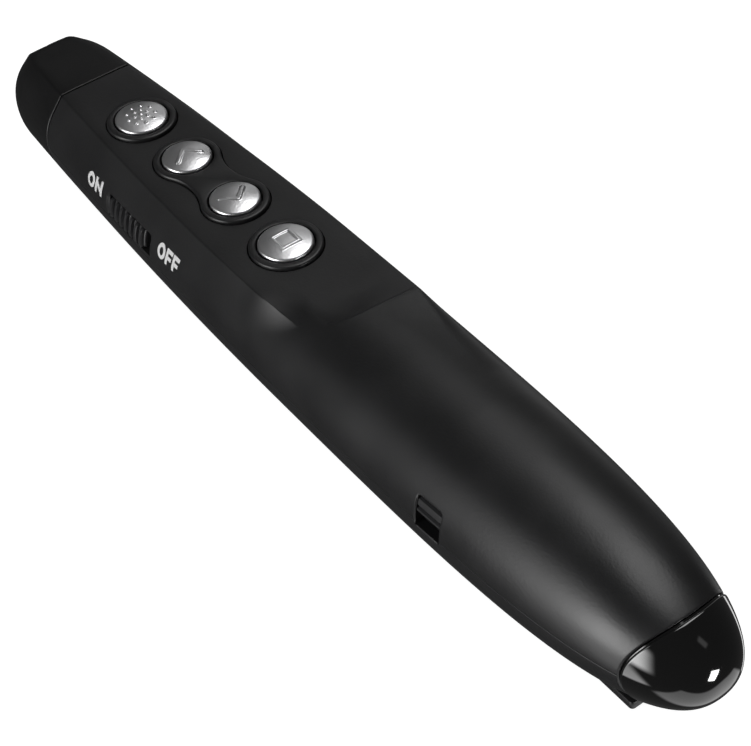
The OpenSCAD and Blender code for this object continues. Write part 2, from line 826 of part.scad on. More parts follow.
// cover of the bay: hooks at the nose side, pads under the cell, ears for the clip's pin
module battery_door() {
    hook_z = mid_z(door_x) - half_h(door_x, wall) + slip_gap;
    pad_z = cell_z - cell_d / 2 - slip_gap;
    color([0.05, 0.05, 0.055])
    difference() {
        union() {
            intersection() {
                difference() {
                    body_form();
                    loft(wall);
                }
                translate([door_inner_x, -door_w / 2 + seam_gap, -1])
                    cube([door_tail_x - door_inner_x, door_w - 2 * seam_gap, cell_z]);
            }
            intersection() {
                body_form();
                for (i = [0, 2]) translate([rib_xs[i] - pad_t / 2, -pad_w / 2, 0])
                    cube([pad_t, pad_w, pad_z]);
            }
            for (s = [-1, 1]) translate([door_inner_x, s * hook_y - hook_w / 2, 0]) {
                translate([-hook_len, 0, hook_z + hook_t]) cube([hook_len + hook_root, hook_w, hook_t]);
                translate([0, 0, hook_z - wall / 2]) cube([hook_root, hook_w, wall / 2 + hook_t + eps]);
            }
            for (s = [-1, 1]) translate([pin_x, s * (clip_w / 2 - ear_t / 2), 0]) hull() {
                translate([0, 0, pin_z]) rotate([90, 0, 0])
                    cylinder(r = knuckle_r, h = ear_t, center = true, $fn = 32);
                translate([0, 0, ear_root_z]) cube([ear_root_w, ear_t, eps], center = true);
            }
        }
        translate([pin_x, 0, pin_z]) rotate([90, 0, 0])
            cylinder(d = pin_d, h = far, center = true, $fn = 32);
    }
}

// flat strip on a pinned knuckle, with a nub that bears on the shell
module pocket_clip() {
    inner_w = clip_w - 2 * (ear_t + slip_gap);
    strip_x = pin_x + arm_len - slip_gap;
    nub_z = mid_z(nub_x) - half_h(nub_x) - nub_gap;
    color([0.05, 0.05, 0.055])
    difference() {
        union() {
            linear_extrude(clip_t) {
                translate([strip_x, -clip_w / 2])
                    square([clip_end_x - clip_end_r - strip_x, clip_w]);
                hull() for (s = [-1, 1])
                    translate([clip_end_x - clip_end_r, s * (clip_w / 2 - clip_end_r)])
                        circle(r = clip_end_r, $fn = 32);
            }
            translate([pin_x, -inner_w / 2, 0]) cube([arm_len, inner_w, clip_t]);
            translate([pin_x, 0, pin_z]) rotate([90, 0, 0])
                cylinder(r = knuckle_r, h = inner_w, center = true, $fn = 48);
            translate([nub_x - nub_len / 2, -nub_w / 2, 0]) cube([nub_len, nub_w, nub_z]);
        }
        translate([pin_x, 0, pin_z]) rotate([90, 0, 0])
            cylinder(d = pin_d + 2 * seat_gap, h = far, center = true, $fn = 32);
    }
}

module clip_pin() {
    color([0.75, 0.75, 0.77])
    translate([pin_x, 0, pin_z]) rotate([90, 0, 0])
        cylinder(d = pin_d, h = clip_w, center = true, $fn = 32);
}

// sleeve for the plug, with a flange that closes the tail of the shells
module receiver_dock() {
    sleeve = 2 * (plug_gap + dock_t);
    color([0.07, 0.07, 0.075])
    difference() {
        intersection() {
            loft(wall + slip_gap);
            union() {
                x_box(dock_x0, dock_x1, plug_z, plug_w + sleeve, plug_h + sleeve);
                x_slab(dock_x1 - dock_flange_t, dock_x1);
            }
        }
        plug_room(plug_x0 - dock_tip_gap);
    }
}

module receiver_cap() {
    color([0.02, 0.02, 0.02])
    difference() {
        intersection() {
            loft(-dome_proud);
            dome_zone();
        }
        loft(dome_wall);
        x_box(0, base_x + seat_gap, plug_z, plug_w + 2 * seat_gap, plug_h + 2 * seat_gap);
    }
}

// plate that closes the dome, with a slit for the circuit board
module receiver_base() {
    color([0.05, 0.05, 0.055])
    difference() {
        intersection() {
            loft(dome_wall + seat_gap);
            dome_zone();
            x_slab(base_x, base_x + base_t);
        }
        x_box(0, far, plug_z + usb_board_t / 2, usb_board_w + 2 * seat_gap,
              usb_board_t + 2 * seat_gap);
    }
}

module receiver_plug() {
    color([0.8, 0.8, 0.82])
    difference() {
        x_box(plug_x0, base_x, plug_z, plug_w, plug_h);
        x_box(plug_x0 - 1, far, plug_z, plug_w - 2 * plug_t, plug_h - 2 * plug_t);
    }
}

// fills the lower half of the plug
module receiver_tongue() {
    h = plug_h / 2 - plug_t;
    color([0.9, 0.9, 0.88])
    x_box(plug_x0 + tongue_sink, base_x, plug_z - h / 2, plug_w - 2 * plug_t, h);
}

module receiver_board() {
    color([0.08, 0.3, 0.15])
    x_box(usb_board_x0, usb_board_x1, plug_z + usb_board_t / 2, usb_board_w, usb_board_t);
}

module shell_screws() {
    color([0.7, 0.7, 0.72])
    for (x = screw_xs) translate([x, 0, screw_head_z]) {
        cylinder(d = screw_d, h = screw_len, $fn = 32);
        translate([0, 0, -screw_head_t]) cylinder(d = screw_head_d, h = screw_head_t, $fn = 32);
    }
}

upper_shell();
lower_shell();
nose_cap();
laser_window();
laser_barrel();
laser_lens();
laser_board();
button_surround();
laser_button();
forward_button();
back_button();
screen_button();
laser_plunger();
forward_plunger();
back_plunger();
screen_plunger();
tact_switches();
main_board();
radio_chip();
crystal();
power_switch();
switch_slider();
switch_knob();
lanyard_eye();
battery();
battery_spring();
spring_plate();
contact_plate();
battery_door();
pocket_clip();
clip_pin();
receiver_dock();
receiver_cap();
receiver_base();
receiver_plug();
receiver_tongue();
receiver_board();
shell_screws();
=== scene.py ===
import math

import bmesh
import bpy
import numpy as np
from mathutils import Matrix, Vector


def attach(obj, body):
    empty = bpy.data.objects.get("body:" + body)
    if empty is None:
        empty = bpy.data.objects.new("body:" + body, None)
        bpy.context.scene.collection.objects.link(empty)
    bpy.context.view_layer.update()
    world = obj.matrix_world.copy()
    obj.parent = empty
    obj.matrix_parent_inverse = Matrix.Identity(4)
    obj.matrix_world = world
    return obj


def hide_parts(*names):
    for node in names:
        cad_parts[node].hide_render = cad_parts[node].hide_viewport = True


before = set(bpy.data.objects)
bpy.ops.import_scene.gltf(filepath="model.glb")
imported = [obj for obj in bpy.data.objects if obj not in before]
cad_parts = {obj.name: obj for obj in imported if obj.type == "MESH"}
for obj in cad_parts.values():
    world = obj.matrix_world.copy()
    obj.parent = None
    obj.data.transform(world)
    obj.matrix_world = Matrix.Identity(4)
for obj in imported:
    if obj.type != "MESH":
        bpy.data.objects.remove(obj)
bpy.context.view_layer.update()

# Lengths are in mm up to done(), which scales each piece to metres.
MM = 0.001
FAR, WIDE, LOW = 90, 60, -20                # reaches of cutters, well past the body

# ---------------------------------------------------------------- sizes of the body
NOSE, TAIL, SEAM = -70.3, 70.1, -56.0       # the body's ends and the nose cap's seam
GAP, PROUD, WALL = 0.15, 0.2, 1.4           # seam width, how proud the dome stands, casing wall
HALF_W, HALF_H, POWER = 11.35, 9.4, 2.12    # the largest section, a superellipse
WIDEST_X, TALLEST_X = 4.0, 30.0
SPLIT, DROOP = 11.9, 1.6                    # the split's height at x = 0, its fall per half length
PANEL, PANEL_W, NOSE_W = 20.15, 7.8, 5.35   # the button panel's height and half widths
NOSE_ROUND, NOSE_RUN, NOSE_FALL = 2.2, 12.1, 0.05
CORNER, END_R, END_X = (-0.5, 0.5), 8.3, 8.5    # the panel's end: its arc and its far corner
FAR_RIDGE_FALL, FAR_RIDGE_END = 0.0537, 40      # the far ridge behind the panel
INSIDE = 0.05                               # how far a ridge that has died away lies inside the oval
DOME_C, DOME_R, DOME_Z = 71.9, 9.6, 10.48   # the dome's curved seam, an arc seen from the side
BUTTONS = [-43.45, -31.95, -20.45, -8.95]
CAP_D = [7.2, 6.7, 6.7, 7.2]
RIM, DOME_UP, COLLAR = 20.95, 0.45, 20.65   # the caps' rim, the rise of their domes, the collars' top
SLOT = (-37.5, -26.4, 13.0, 16.1)           # x and z ranges of openings and pieces in the side wall
KNOB = (-37.3, -28.1, 13.2, 15.9)
EYE = (31.3, 35.5, 10.6, 15.1)
SCREWS = (-50.65, -2.9)
CEILING = 18.65
LASER_Z = 12.9
CELL_R, CELL_Z = 5.35, 11.4
PLUG_Z, PLUG_HALF_W, PLUG_HALF_H = 10.6, 6.1, 2.35
DOOR_X0, DOOR_X1, DOOR_HALF_W, DOOR_TOP = 1.2, 50.2, 6.4, 10.4
PIN_X, PIN_Z, PIN_BOSS_R = 4.4, 0.95, 0.9


# ---------------------------------------------------------------- the body's form
def ramp(x, a, b):
    return np.clip((x - a) / (b - a), 0, 1)


def smooth(t):
    return t * t * (3 - 2 * t)


def soft_min(a, b, k):
    h = np.maximum(k - np.abs(a - b), 0) / k
    return np.minimum(a, b) - h * h * k / 4


def split_z(x):
    return SPLIT - DROOP * x / 70.3


def mid_z(x):
    return split_z(x) - 0.6 * ramp(x, -40.3, -70.3) ** 1.5


def taper(x, start, d, power):
    """Falls from 1 at start to almost 0 at the tail."""
    return 1 - np.minimum(ramp(x, start, TAIL - d), 0.99995) ** power


def half_w(x, d=0.0):
    nose_side = HALF_W - d - 3.6 * ramp(x, WIDEST_X, NOSE) ** 2
    tail_side = (HALF_W - d) * taper(x, WIDEST_X, d, 3.5) ** 0.39
    return np.where(x < WIDEST_X, nose_side, tail_side)


def half_h(x, d=0.0):
    nose_side = HALF_H - d - 1.7 * ramp(x, TALLEST_X, NOSE)
    tail_side = (HALF_H - d) * taper(x, TALLEST_X, d, 3.4) ** 0.44
    return np.where(x < TALLEST_X, nose_side, tail_side)


def share(x, d=0.0):
    """The part of the section that is left at the rounded nose end."""
    t = ramp(x, NOSE + d, NOSE + d + 6)
    return 0.68 + 0.32 * np.sqrt(1 - (1 - t) ** 2)


def panel_w(x):
    return PANEL_W - 2.45 * ramp(x, -7.0, SEAM) ** 1.7


def oval(x, th, d=0.0):
    """Radius of the section at x, at the angle th above the horizontal, inset by d."""
    s = share(x, d)
    a, b = half_w(x, d) * s, half_h(x, d) * s
    return 1 / ((np.abs(np.cos(th)) / a) ** POWER + (np.abs(np.sin(th)) / b) ** POWER) ** (1 / POWER)


def toward_oval(x, c, z, t, inside=0.0):
    """Moves the corner (c, z) onto the oval as t goes from 0 to 1."""
    th = np.arctan2(z, c)
    r = oval(x, th) - inside
    return c * (1 - t) + r * np.cos(th) * t, z * (1 - t) + r * np.sin(th) * t


def corner(x, side):
    """The shoulder's corner at x, as (y, z) from the section's middle. Side -1 has the switch."""
    z = np.where(x < SEAM, PANEL - NOSE_FALL * (SEAM - x), PANEL) - mid_z(x)
    t = np.maximum(SEAM - x, 0) / NOSE_RUN
    c = np.where(x < SEAM, NOSE_W - 1.75 * t ** (2.2 if side > 0 else 1.2), panel_w(x))
    if side > 0:
        rise = PANEL - float(mid_z(END_X))
        end = math.atan2(rise, PANEL_W)
        skin = oval(x, end) - INSIDE
        line = math.hypot(rise, PANEL_W) - FAR_RIDGE_FALL * (x - END_X)
        line = np.where(x < FAR_RIDGE_END, np.maximum(line, skin), skin)
        c = np.where(x > END_X, line * math.cos(end), c)
        z = np.where(x > END_X, line * math.sin(end), z)
    else:
        c, z = toward_oval(x, c, z, smooth(ramp(x, CORNER[0] - 4, CORNER[0] + 5)), INSIDE)
        arc = np.sqrt(np.maximum(END_R ** 2 - np.maximum(x - CORNER[0], 0) ** 2, 0)) - CORNER[1]
        c = np.where(x > CORNER[0], np.maximum(np.minimum(arc, c), 0.01), c)
    return toward_oval(x, c, z, ramp(x, NOSE + NOSE_ROUND, NOSE))


def hull_radius(x, th, side):
    """Radius of the oval pulled out to the shoulder's corner. x is (n, 1) and th is (n, m)."""
    s = share(x)
    a, b = half_w(x) * s, half_h(x) * s
    c, h = corner(x, side)
    e = 2 * (POWER - 1) / POWER

    def beyond_tangent(p):
        return np.cos(p) ** e * c / a + np.sin(p) ** e * h / b - 1

    top = np.arctan2((h / b) ** (POWER / 2), (c / a) ** (POWER / 2))
    out = beyond_tangent(top) > 1e-6
    touches = []
    for far_end in (np.full_like(x, 1e-4), np.full_like(x, math.pi / 2 - 1e-4)):
        lo, hi = far_end.copy(), top.copy()
        for _ in range(40):
            m = (lo + hi) / 2
            neg = beyond_tangent(m) < 0
            lo, hi = np.where(neg, m, lo), np.where(neg, hi, m)
        m = (lo + hi) / 2
        touches.append((a * np.cos(m) ** (2 / POWER), b * np.sin(m) ** (2 / POWER)))
    r = oval(x, th)
    lines = []
    for py, pz in touches:
        den = np.cos(th) * (h - pz) - np.sin(th) * (c - py)
        line = (py * (h - pz) - pz * (c - py)) / np.where(np.abs(den) < 1e-9, 1e-9, den)
        lines.append(np.where((line > 0) & (line < 40), line, 40))
    low, high = (np.arctan2(pz, py) for py, pz in touches)
    blunt = 0.02 + (1.4 if side > 0 else 0.8) * ramp(x, END_X - 2, END_X + 8)
    both = soft_min(lines[0], lines[1], blunt)
    return np.where(out & (th > low) & (th < high), np.maximum(both, r), r)


def end_distance(x, y):
    """How far (x, y) lies inside the panel's end."""
    px, py = x - CORNER[0], y - CORNER[1]
    near = END_R - np.hypot(np.maximum(px, 0), np.minimum(py, 0))
    return np.minimum(near, np.where(py < 0, near, END_R - np.maximum(px, 0)))


def form_radius(x, th, side):
    """Radius of the whole outside, panel included."""
    r = hull_radius(x, th, side)
    mz = mid_z(x)
    up = np.sin(th) > 0.3
    sn = np.where(up, np.sin(th), 1)
    nose_top = PANEL - NOSE_FALL * np.maximum(SEAM - x, 0)
    nose_end = mz + corner(x, side)[1]
    level = np.where(x < NOSE + NOSE_ROUND, nose_end, nose_top)
    y0 = (level - mz) / sn * np.cos(th)
    dist = end_distance(x, side * y0)
    rise = np.maximum(r * np.sin(th) + mz - PANEL, 0)
    on = smooth(ramp(x, CORNER[0], CORNER[0] + 5.0))
    lift = rise * np.maximum(1 - dist / 4.0, 0) ** 2 * on + np.maximum(-dist, 0)
    flat = np.where(up, (level + lift - mz) / sn, 99)
    return soft_min(r, flat, 0.3)


def edge_drop(u, e):
    """How far a rounded edge of radius e falls back at a distance u from the edge."""
    t = np.clip(u, 0, e)
    return e - np.sqrt(np.maximum(e * e - (e - t) ** 2, 0))


def rect_distance(x, z, box, r=0.5):
    """Signed distance to a rectangle with corners of radius r."""
    cx, cz = (box[0] + box[1]) / 2, (box[2] + box[3]) / 2
    qx = np.abs(x - cx) - (box[1] - box[0]) / 2 + r
    qz = np.abs(z - cz) - (box[3] - box[2]) / 2 + r
    return np.hypot(np.maximum(qx, 0), np.maximum(qz, 0)) + np.minimum(np.maximum(qx, qz), 0) - r


def spread(*runs):
    """Values from (start, end, step) runs, without repeats."""
    out = []
    for a, b, step in runs:
        n = max(1, int(round((b - a) / step)))
        out += [a + (b - a) * i / n for i in range(n)]
    return out + [runs[-1][1]]


def angle_table(x):
    """Angles of the section's columns at each x, lined up with the split and the shoulder."""
    near = [.04, .09, .15, .25, .4, .7]
    split = np.arcsin(np.clip((split_z(x) - mid_z(x)) / (half_w(x) * share(x)), -0.9, 0.9))
    c, h = corner(np.minimum(x, CORNER[0]), 1)
    shoulder = np.arctan2(h, c)
    r = half_w(x) * share(x) + 0.5
    bottom, top = -math.pi / 2, math.pi / 2
    cols = [bottom + (split - 0.7 / r - bottom) * t for t in np.linspace(0, 1, 34)[:-1]]
    cols += [split + n / r for n in [-n for n in near[::-1]] + [0] + near]
    b0, b1 = split + 0.7 / r, shoulder - 0.9 / r
    cols += [b0 + (b1 - b0) * t for t in np.linspace(0, 1, 46)[1:-1]]
    cols += [shoulder + n / r for n in np.linspace(-0.9, 0.9, 19)]
    c0 = shoulder + 0.9 / r
    cols += [c0 + (top - c0) * t for t in np.linspace(0, 1, 56)[1:]]
    return np.concatenate(cols, axis=1)


# ---------------------------------------------------------------- meshes
def link(name, me):
    ob = bpy.data.objects.new(name, me)
    bpy.context.scene.collection.objects.link(ob)
    return ob


def closed_object(name, verts, faces, weld=False):
    """An object with a closed skin whose faces point outwards."""
    me = bpy.data.meshes.new(name)
    me.from_pydata(verts, [], faces)
    bm = bmesh.new()
    bm.from_mesh(me)
    if weld:
        bmesh.ops.remove_doubles(bm, verts=bm.verts, dist=1e-5)
    bmesh.ops.recalc_face_normals(bm, faces=bm.faces)
    if bm.calc_volume(signed=True) < 0:
        bmesh.ops.reverse_faces(bm, faces=bm.faces)
    bm.to_mesh(me)
    bm.free()
    return link(name, me)


def grid_object(name, rows):
    """A closed skin through rows of points; each row is a ring."""
    n, m = rows.shape[:2]
    i, k = np.meshgrid(np.arange(n - 1), np.arange(m), indexing="ij")
    a, b = i * m + k, i * m + (k + 1) % m
    faces = np.stack([a, b, b + m, a + m], axis=-1).reshape(-1, 4).tolist()
    faces += [list(range(m))[::-1], [(n - 1) * m + k for k in range(m)]]
    return closed_object(name, rows.reshape(-1, 3).tolist(), faces, weld=True)


def two_sides(name, make_side):
    """A skin whose rings are a half for side 1 and a half for side -1, both from the bottom up."""
    right, left = make_side(1), make_side(-1)
    return grid_object(name, np.concatenate([right, left[:, ::-1][:, 1:-1]], axis=1))


def form_object(name, xs, drop):
    """The body's outside. drop(x, y, z) is how far each point falls back."""
    x = np.array(xs, dtype=float).reshape(-1, 1)

    def half(side):
        th = angle_table(x)
        r = form_radius(x, th, side)
        y, z = side * r * np.cos(th), mid_z(x) + r * np.sin(th)
        f = drop(x + 0 * y, y, z)
        return np.stack([x + 0 * y, y - side * f * np.cos(th), z - f * np.sin(th)], axis=-1)

    return two_sides(name, half)


def loft_object(name, xs, d, cols=96):
    """The oval body inset by d, without the panel."""
    x = np.array(xs, dtype=float).reshape(-1, 1)
    th = np.linspace(0, 2 * math.pi, cols, endpoint=False).reshape(1, -1) + 0 * x
    r = oval(x, th, d)
    p = np.stack([x + 0 * th, r * np.cos(th), mid_z(x) + r * np.sin(th)], axis=-1)
    return grid_object(name, p)


def block(x0, x1, y0, y1, z0, z1, name="cut"):
    v = [(x, y, z) for x in (x0, x1) for y in (y0, y1) for z in (z0, z1)]
    f = [(0, 1, 3, 2), (4, 6, 7, 5), (0, 4, 5, 1), (2, 3, 7, 6), (0, 2, 6, 4), (1, 5, 7, 3)]
    return closed_object(name, v, f)


def lathe(name, profile, centre, axis="Z", steps=96):
    """A closed body of revolution. profile is [(radius, height), ...] from the bottom to the top."""
    rows = []
    t = np.linspace(0, 2 * math.pi, steps, endpoint=False)
    for r, h in profile:
        c, s = max(r, 1e-3) * np.cos(t), max(r, 1e-3) * np.sin(t)
        z = np.full_like(t, h)
        p = {"Z": (c, s, z), "X": (z, c, s), "Y": (c, z, s)}[axis]
        rows.append(np.stack(p, axis=-1) + np.array(centre))
    return grid_object(name, np.array(rows))


def bore(r, x, z0, z1):
    """A cutter for an upright round hole in the middle of the body."""
    return lathe("cut", [(r, z0), (r, z1)], (x, 0, 0), steps=48)


def bore_along(profile):
    """A cutter along the laser's axis."""
    return lathe("cut", profile, (0, 0, LASER_Z), axis="X")


def wedge(up):
    """Everything above or below the split between the shells."""
    s = 1 if up else -1
    pts = [(-FAR, split_z(-FAR)), (FAR, split_z(FAR)), (FAR, s * FAR), (-FAR, s * FAR)]
    v = [(x, y, z) for y in (-WIDE, WIDE) for x, z in pts]
    f = [(0, 1, 2, 3), (7, 6, 5, 4), (0, 4, 5, 1), (1, 5, 6, 2), (2, 6, 7, 3), (3, 7, 4, 0)]
    return closed_object("cut", v, f)


def cut(ob, other, operation="DIFFERENCE"):
    """Cuts, joins or trims ob with other, which is used up."""
    mod = ob.modifiers.new("cut", "BOOLEAN")
    mod.object, mod.operation, mod.solver = other, operation, "MANIFOLD"
    dg = bpy.context.evaluated_depsgraph_get()
    me = bpy.data.meshes.new_from_object(ob.evaluated_get(dg))
    ob.modifiers.clear()
    ob.data = me
    bpy.data.objects.remove(other)
    return ob


def join(name, parts):
    """Several closed meshes as one object."""
    bm = bmesh.new()
    for p in parts:
        bm.from_mesh(p.data)
        bpy.data.objects.remove(p)
    me = bpy.data.meshes.new(name)
    bm.to_mesh(me)
    bm.free()
    return link(name, me)


def done(ob, material, body, nodes=()):
    """Scales a piece from mm to metres, shades it and ties it to its body."""
    me = ob.data
    co = np.empty(len(me.vertices) * 3)
    me.vertices.foreach_get("co", co)
    me.vertices.foreach_set("co", co * MM)
    me.polygons.foreach_set("use_smooth", [True] * len(me.polygons))
    me.update()
    me.set_sharp_from_angle(angle=math.radians(35))
    me.materials.clear()
    me.materials.append(material)
    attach(ob, body)
    if nodes:
        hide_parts(*nodes)


# ---------------------------------------------------------------- materials
def noise(nt, vector, scale, detail):
    n = nt.nodes.new("ShaderNodeTexNoise")
    n.inputs["Scale"].default_value = scale
    n.inputs["Detail"].default_value = detail
    nt.links.new(vector, n.inputs["Vector"])
    return n.outputs["Fac"]


def material(name, colour, rough, metallic=0.0, grain=0.0, grain_size=0.4, mottle=0.06,
             rough_var=0.06, coat=0.0, specular=0.5, streak=None, painted_glow=0.0):
    """Plastic or metal with a mottled colour, uneven roughness, a fine grain and, where asked, a faint
    painted glow.
    """
    m = bpy.data.materials.new(name)
    m.use_nodes = True
    nt = m.node_tree
    b = nt.nodes["Principled BSDF"]
    b.inputs["Metallic"].default_value = metallic
    b.inputs["Specular IOR Level"].default_value = specular
    b.inputs["Coat Weight"].default_value = coat
    b.inputs["Coat Roughness"].default_value = 0.06
    # a painted glow: white emission that brightens the piece although it is no lamp
    b.inputs["Emission Color"].default_value = (1, 1, 1, 1)
    b.inputs["Emission Strength"].default_value = painted_glow
    place = nt.nodes.new("ShaderNodeTexCoord").outputs["Object"]
    if streak:
        mapping = nt.nodes.new("ShaderNodeMapping")
        mapping.inputs["Scale"].default_value = streak
        nt.links.new(place, mapping.inputs["Vector"])
        place = mapping.outputs["Vector"]
    patches = noise(nt, place, 90, 5)
    mix = nt.nodes.new("ShaderNodeMix")
    mix.data_type = "RGBA"
    mix.inputs["A"].default_value = (*[c * (1 - mottle) for c in colour], 1)
    mix.inputs["B"].default_value = (*[min(1, c * (1 + mottle)) for c in colour], 1)
    nt.links.new(patches, mix.inputs["Factor"])
    nt.links.new(mix.outputs["Result"], b.inputs["Base Color"])
    spots = nt.nodes.new("ShaderNodeMapRange")
    spots.inputs["From Min"].default_value, spots.inputs["From Max"].default_value = 0.3, 0.7
    spots.inputs["To Min"].default_value = rough - rough_var
    spots.inputs["To Max"].default_value = rough + rough_var
    nt.links.new(patches, spots.inputs["Value"])
    nt.links.new(spots.outputs["Result"], b.inputs["Roughness"])
    if grain:
        bump = nt.nodes.new("ShaderNodeBump")
        bump.inputs["Strength"].default_value = 1.0
        bump.inputs["Distance"].default_value = grain * MM
        nt.links.new(noise(nt, place, 1000 / grain_size, 2), bump.inputs["Height"])
        nt.links.new(bump.outputs["Normal"], b.inputs["Normal"])
    return m


M = {
    "shell": material("shell_plastic", (0.009, 0.009, 0.0095), 0.38, grain=0.012, grain_size=0.35),
    "lower": material("lower_plastic", (0.010, 0.010, 0.0105), 0.38, grain=0.012, grain_size=0.35),
    "nose": material("nose_plastic", (0.005, 0.005, 0.0052), 0.36, grain=0.010, grain_size=0.35,
                     specular=0.38),
    "surround": material("panel_plastic", (0.010, 0.010, 0.0105), 0.36, grain=0.008, grain_size=0.35),
    "gloss": material("gloss_black", (0.004, 0.004, 0.004), 0.05, rough_var=0.015, coat=1.0),
    "silver": material("button_silver", (0.80, 0.80, 0.81), 0.32, metallic=1.0, grain=0.022,
                       grain_size=0.32, rough_var=0.08),
    "knob": material("switch_black", (0.016, 0.016, 0.017), 0.40, grain=0.006, grain_size=0.3),
    # the white print has a faint painted glow, painted light that makes it look brighter
    "print": material("white_print", (0.6, 0.6, 0.6), 0.55, rough_var=0.05, painted_glow=0.04),
    "window": material("window", (0.25, 0.02, 0.02), 0.08, rough_var=0.02, coat=0.6),
    "lens": material("lens", (0.55, 0.62, 0.70), 0.05, rough_var=0.02, coat=1.0),
    "brass": material("brass", (0.70, 0.50, 0.22), 0.28, metallic=1.0, grain=0.003, grain_size=0.2,
                      streak=(6, 1, 1)),
    "board": material("board", (0.015, 0.11, 0.045), 0.35, mottle=0.25, grain=0.02, grain_size=1.2),
    "component": material("component", (0.03, 0.03, 0.032), 0.5, grain=0.006, grain_size=0.2),
    "nickel": material("nickel", (0.72, 0.71, 0.69), 0.24, metallic=1.0, grain=0.004,
                       grain_size=0.3, streak=(1, 6, 6)),
    "steel": material("steel", (0.56, 0.57, 0.58), 0.33, metallic=1.0, grain=0.004,
                      grain_size=0.25, streak=(1, 8, 8)),
    "cell": material("cell", (0.05, 0.07, 0.10), 0.28, mottle=0.1, coat=0.4, grain=0.003,
                     grain_size=0.6),
    "tongue": material("tongue", (0.74, 0.74, 0.71), 0.45, grain=0.004, grain_size=0.3),
}


# ---------------------------------------------------------------- shells
def body_drop(x, y, z):
    """Rounded edges along the seams and round the openings in the side wall."""
    f = edge_drop(np.where(x < SEAM, SEAM - GAP - x, x - SEAM), 0.22)
    f = np.where((x > SEAM - GAP) & (x < SEAM), 0.22, f)
    f = np.maximum(f, np.where(x > SEAM, edge_drop(np.abs(z - split_z(x)), 0.10), 0))
    rho = np.hypot(x - DOME_C, z - DOME_Z)
    f = np.maximum(f, edge_drop(rho - DOME_R - GAP, 0.2))
    f = np.maximum(f, np.where(y < 0, edge_drop(rect_distance(x, z, SLOT), 0.25), 0))
    return np.maximum(f, np.where(y < 0, edge_drop(rect_distance(x, z, EYE, 0.6), 0.2), 0))


form_xs = spread(
    (NOSE, -69.9, 0.05), (-69.9, -67, 0.25), (-67, -56.6, 0.45), (-56.6, -55.6, 0.05),
    (-55.6, -37, 0.5), (-37, -25.5, 0.12), (-25.5, -1.5, 0.5), (-1.5, 10, 0.1), (10, 29, 0.6),
    (29, 36.6, 0.12), (36.6, 61, 0.6), (61, 67.5, 0.1), (67.5, 69.5, 0.2), (69.5, TAIL, 0.05))
inner_xs = spread((NOSE + WALL, -62.9, 0.5), (-62.9, 60, 1.2), (60, TAIL - WALL - 0.4, 0.4))
form = form_object("form", form_xs, body_drop)


def dome_cutter(r):
    return lathe("cut", [(r, -WIDE), (r, WIDE)], (DOME_C, 0, DOME_Z), axis="Y", steps=256)


def cavity(up):
    """The room inside a shell, less its partition, screw posts and cell ribs."""
    c = loft_object("cavity", inner_xs, WALL)
    cut(c, block(-FAR, FAR, -WIDE, WIDE, CEILING, FAR))
    if up:
        cut(c, block(-48.55, -5.0, -6.1, 6.1, 13.0, CEILING), "UNION")
    cut(c, block(-1.5, -0.5, -WIDE, WIDE, -WIDE, WIDE))
    for x in SCREWS:
        cut(c, bore(2.1, x, LOW, WIDE))
    if up:
        for x in (8.1, 25.15, 42.2):
            rib = block(x - 0.6, x + 0.6, -WIDE, WIDE, 0, WIDE)
            cut(rib, lathe("cut", [(CELL_R, -80), (CELL_R, 80)], (0, 0, CELL_Z), axis="X"))
            cut(rib, block(-FAR, FAR, -CELL_R, CELL_R, LOW, CELL_Z))
            cut(c, rib)
    return c


def shell(name, up):
    """One half of the casing, hollow, with the seams of the nose and the dome and the plug's room."""
    ob = cut(link(name, form.data.copy()), wedge(up), "INTERSECT")
    cut(ob, block(-FAR, SEAM, -WIDE, WIDE, -WIDE, WIDE))
    cut(ob, dome_cutter(DOME_R + GAP))
    cut(ob, cavity(up))
    plug_z = (PLUG_Z - PLUG_HALF_H, PLUG_Z + PLUG_HALF_H)
    return cut(ob, block(47.8, FAR, -PLUG_HALF_W, PLUG_HALF_W, *plug_z))


upper, lower = shell("upper_casing", True), shell("lower_casing", False)
for x in SCREWS:
    cut(lower, bore(1.75, x, LOW, 6))
    cut(lower, bore(1.15, x, LOW, 30))
    cut(upper, bore(1.0, x, LOW, 17.4))
cut(lower, block(DOOR_X0, DOOR_X1, -DOOR_HALF_W, DOOR_HALF_W, LOW, DOOR_TOP))
cut(upper, block(*SLOT[:2], -WIDE, -6.4, *SLOT[2:]))
for ob in (upper, lower):
    cut(ob, block(*EYE[:2], -WIDE, -7.7, *EYE[2:]))


# ---------------------------------------------------------------- collars round the buttons
def pad_outline(i, j, r, waist, steps=48):
    """Outline at a radius r round caps i to j, with a smooth waist between two caps."""
    if i == j:
        t = np.linspace(0, 2 * math.pi, 4 * steps, endpoint=False)
        return np.stack([BUTTONS[i] + r * np.cos(t), r * np.sin(t)], axis=-1)
    half, mx = (BUTTONS[j] - BUTTONS[i]) / 2, (BUTTONS[i] + BUTTONS[j]) / 2
    f = (half ** 2 + waist ** 2 - r * r) / (2 * (r - waist))
    ang = math.atan2(waist + f, half)
    t = np.linspace(-math.pi + ang, math.pi - ang, 2 * steps)
    right = np.stack([mx + half + r * np.cos(t), r * np.sin(t)], axis=-1)
    t = np.linspace(-ang, ang - math.pi, steps)[1:-1]
    top = np.stack([mx + f * np.cos(t), waist + f + f * np.sin(t)], axis=-1)
    half_turn = np.concatenate([right, top])
    other = np.stack([2 * mx - half_turn[:, 0], -half_turn[:, 1]], axis=-1)
    return np.concatenate([half_turn, other])


def pad_solid(i, j, r, levels, waist=3.1):
    """A solid over that outline. levels are (growth, height) from the bottom to the top."""
    rows = []
    for grow, z in levels:
        p = pad_outline(i, j, r + grow, waist + grow)
        rows.append(np.column_stack([p, np.full(len(p), z)]))
    return grid_object("pad", np.array(rows))


def quarter(n):
    return np.linspace(0, math.pi / 2, n)


